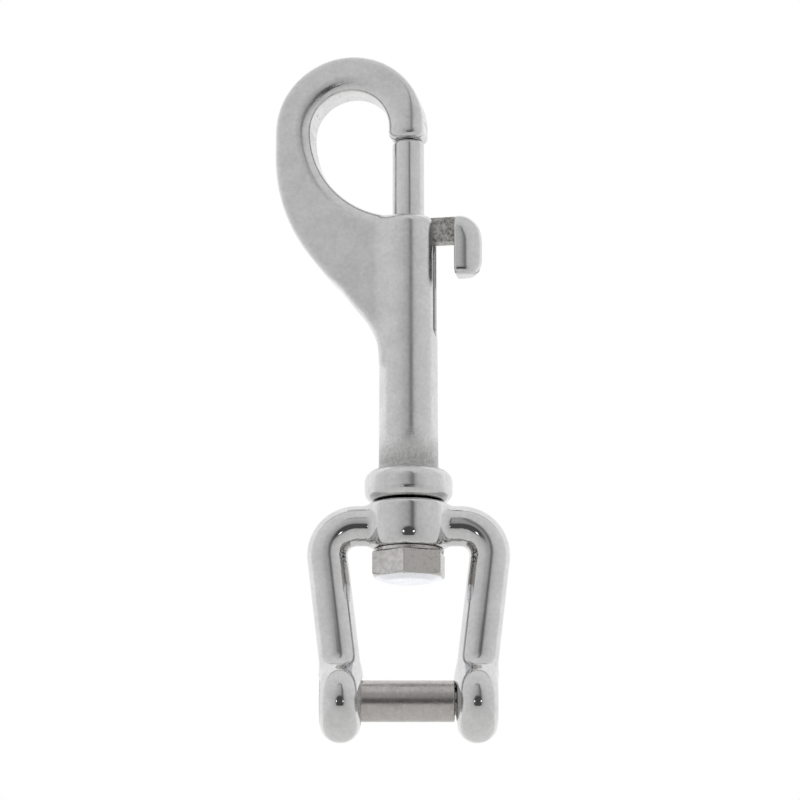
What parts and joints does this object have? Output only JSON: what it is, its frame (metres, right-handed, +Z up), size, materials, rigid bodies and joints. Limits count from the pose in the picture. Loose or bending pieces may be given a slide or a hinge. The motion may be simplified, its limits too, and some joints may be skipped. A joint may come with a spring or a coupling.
{
  "type": "swivel snap shackle",
  "caption": "Cast stainless snap hook with a spring plunger and thumb lever, on a swivelling fork closed by a screwed clevis pin.",
  "frame": {"origin": "centre of the clevis pin, on the swivel axis", "axes": "+Z up the barrel to the hook, +X along the clevis pin; the hook hangs turned 10.5 degrees clockwise about Z from +X, with its thumb lever near +X and its eye open near Y"},
  "size_m": [0.0352, 0.0133, 0.1048],
  "materials": {
    "cast_steel": "fine tumbled casting",
    "bright_rod": "polished",
    "lever_steel": "polished knob, raw cast stem",
    "spring_wire": "drawn wire",
    "bolt_steel": "cold-forged, plain",
    "polished_steel": "mirror polished casting",
    "turned_steel": "turned, with fine tool lines"
  },
  "bodies": {
    "snap": {"snap_body": "cast_steel", "swivel_bolt": "bolt_steel", "swivel_washer": "bolt_steel", "plunger_spring": "spring_wire"},
    "plunger": {"plunger": "bright_rod", "thumb_lever": "lever_steel"},
    "fork": {"fork": "polished_steel"},
    "clevis_pin": {"clevis_pin": "turned_steel"}
  },
  "joints": [
    {"name": "plunger_slide", "type": "slide", "parent": "snap", "child": "plunger", "axis": [0, 0, -1], "range_m": [0, 0.013], "stiffness_N_per_m": 350, "springref_m": -0.008, "deforming": ["plunger_spring"]},
    {"name": "fork_swivel", "type": "hinge", "parent": "snap", "child": "fork", "pos_m": [0, 0, 0.0256], "axis": [0, 0, 1], "continuous": true},
    {"name": "pin_withdraw", "type": "slide", "parent": "fork", "child": "clevis_pin", "axis": [-1, 0, 0], "range_m": [0, 0.045]}
  ]
}
